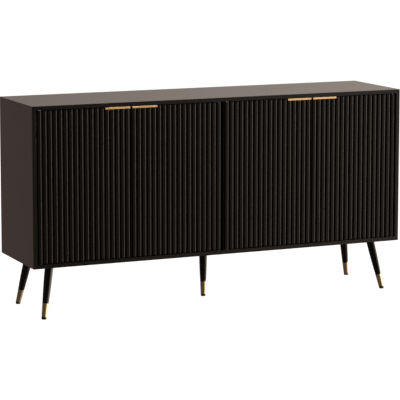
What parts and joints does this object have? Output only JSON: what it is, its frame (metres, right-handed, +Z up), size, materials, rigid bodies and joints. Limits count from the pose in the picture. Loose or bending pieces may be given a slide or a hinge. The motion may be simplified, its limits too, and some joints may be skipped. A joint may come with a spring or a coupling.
{
  "type": "sideboard",
  "caption": "Low sideboard with ribbed hinged doors, slim angled edge handles, an open interior with shelves, and splayed tapered legs with metal ferrules.",
  "frame": {"origin": "on the floor under the middle of the cabinet body, at the centre leg's foot", "axes": "+X along the width to the right when facing the doors, +Y from the front to the back, +Z up"},
  "size_m": [1.5, 0.375, 0.786],
  "materials": {
    "body_board": "black-brown fine-grain foil on 15 mm board, satin",
    "door_board": "ribbed board in black satin lacquer",
    "inner_board": "black-brown foil on 15 mm board",
    "back_board": "thin hardboard, dark printed face",
    "beech": "turned beech dowel, raw",
    "leg_lacquer": "turned wood in black satin lacquer",
    "brass": "satin brass",
    "steel": "zinc-plated steel",
    "zinc": "die-cast zinc, matt",
    "nylon": "black nylon",
    "catch_plastic": "black moulded plastic",
    "magnet": "ferrite magnet, dull grey",
    "glide_plastic": "black moulded plastic"
  },
  "bodies": {
    "carcass": {"top_panel": "body_board", "bottom_panel": "body_board", "left_side_panel": "body_board", "right_side_panel": "body_board", "centre_divider": "inner_board", "left_shelf": "inner_board", "right_shelf": "inner_board", "left_back_panel": "back_board", "right_back_panel": "back_board", "mitre_dowels": "beech", "divider_dowels": "beech", "cam_locks": "zinc", "cam_bolts": "steel", "shelf_pins": "steel", "back_panel_screws": "steel", "catch_screws": "steel", "hanger_bolts": "steel", "plate_screws": "steel", "leg_mounting_plates": "steel", "upper_pivot_bushes": "nylon", "lower_pivot_bushes": "nylon", "left_catch_housing": "catch_plastic", "right_catch_housing": "catch_plastic", "catch_magnets": "magnet", "front_left_leg": "leg_lacquer", "front_left_ferrule": "brass", "front_left_glide": "glide_plastic", "front_right_leg": "leg_lacquer", "front_right_ferrule": "brass", "front_right_glide": "glide_plastic", "back_left_leg": "leg_lacquer", "back_left_ferrule": "brass", "back_left_glide": "glide_plastic", "back_right_leg": "leg_lacquer", "back_right_ferrule": "brass", "back_right_glide": "glide_plastic", "centre_leg": "leg_lacquer", "centre_ferrule": "brass", "centre_glide": "glide_plastic"},
    "left_outer_door": {"left_outer_door_panel": "door_board", "left_outer_door_handle": "brass", "left_outer_pivot_pins": "steel", "left_outer_strike_plate": "steel", "left_outer_door_screws": "steel"},
    "left_inner_door": {"left_inner_door_panel": "door_board", "left_inner_door_handle": "brass", "left_inner_pivot_pins": "steel", "left_inner_strike_plate": "steel", "left_inner_door_screws": "steel"},
    "right_inner_door": {"right_inner_door_panel": "door_board", "right_inner_door_handle": "brass", "right_inner_pivot_pins": "steel", "right_inner_strike_plate": "steel", "right_inner_door_screws": "steel"},
    "right_outer_door": {"right_outer_door_panel": "door_board", "right_outer_door_handle": "brass", "right_outer_pivot_pins": "steel", "right_outer_strike_plate": "steel", "right_outer_door_screws": "steel"}
  },
  "joints": [
    {"name": "left_outer_door_hinge", "type": "hinge", "parent": "carcass", "child": "left_outer_door", "pos_m": [-0.7215, -0.176, 0], "axis": [0, 0, -1], "range_deg": [0, 110]},
    {"name": "left_inner_door_hinge", "type": "hinge", "parent": "carcass", "child": "left_inner_door", "pos_m": [-0.0165, -0.176, 0], "axis": [0, 0, 1], "range_deg": [0, 90]},
    {"name": "right_inner_door_hinge", "type": "hinge", "parent": "carcass", "child": "right_inner_door", "pos_m": [0.0165, -0.176, 0], "axis": [0, 0, -1], "range_deg": [0, 90]},
    {"name": "right_outer_door_hinge", "type": "hinge", "parent": "carcass", "child": "right_outer_door", "pos_m": [0.7215, -0.176, 0], "axis": [0, 0, 1], "range_deg": [0, 110]}
  ]
}
